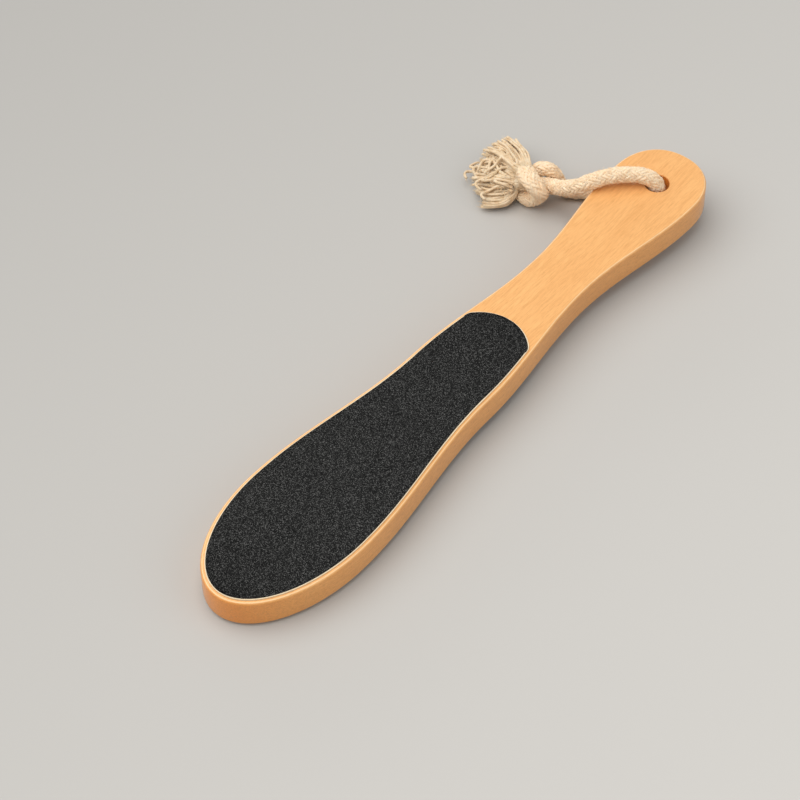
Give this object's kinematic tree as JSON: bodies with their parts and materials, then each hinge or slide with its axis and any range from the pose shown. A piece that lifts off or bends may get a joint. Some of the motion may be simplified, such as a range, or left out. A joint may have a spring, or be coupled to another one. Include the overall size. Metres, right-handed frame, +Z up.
{
  "type": "foot file",
  "caption": "Flat wooden foot file with an abrasive sheet on each face of its paddle blade, and a short cotton cord knotted through a hole in its handle for hanging it up.",
  "frame": {"origin": "on the table that the file lies on, under the centre of the box of the paddle and its sheets", "axes": "+Y along the paddle to its handle end, +Z up, +X across. The paddle leans by 1.4 degrees: its tip lies on the table, and the cord under its handle holds it up."},
  "size_m": [0.0919, 0.2552, 0.0247],
  "materials": {
    "lacquered_wood": "clear satin lacquer over fine straight grain",
    "adhesive": "thin translucent film",
    "backing_paper": "cut edge of pale backing paper",
    "coarse_grit": "black abrasive grain with fine sparkle",
    "fine_grit": "finer dark abrasive grain",
    "cotton_cord": "round braid of cream cotton yarn",
    "cotton_yarn": "loose fuzzy cotton yarns"
  },
  "bodies": {
    "paddle": {"wooden_paddle": "lacquered_wood", "coarse_adhesive_film": "adhesive", "coarse_sheet_backing": "backing_paper", "coarse_grit_coat": "coarse_grit", "fine_adhesive_film": "adhesive", "fine_sheet_backing": "backing_paper", "fine_grit_coat": "fine_grit"},
    "cord": {"hanging_cord": "cotton_cord", "cord_knot": "cotton_cord", "frayed_end_upper": "cotton_yarn", "frayed_end_lower": "cotton_yarn"}
  },
  "joints": [
    {"name": "cord_swing", "type": "hinge", "parent": "paddle", "child": "cord", "pos_m": [0, 0.10947, 0.01194], "axis": [0, 0.0244, -0.9997], "range_deg": [0, 220]}
  ]
}
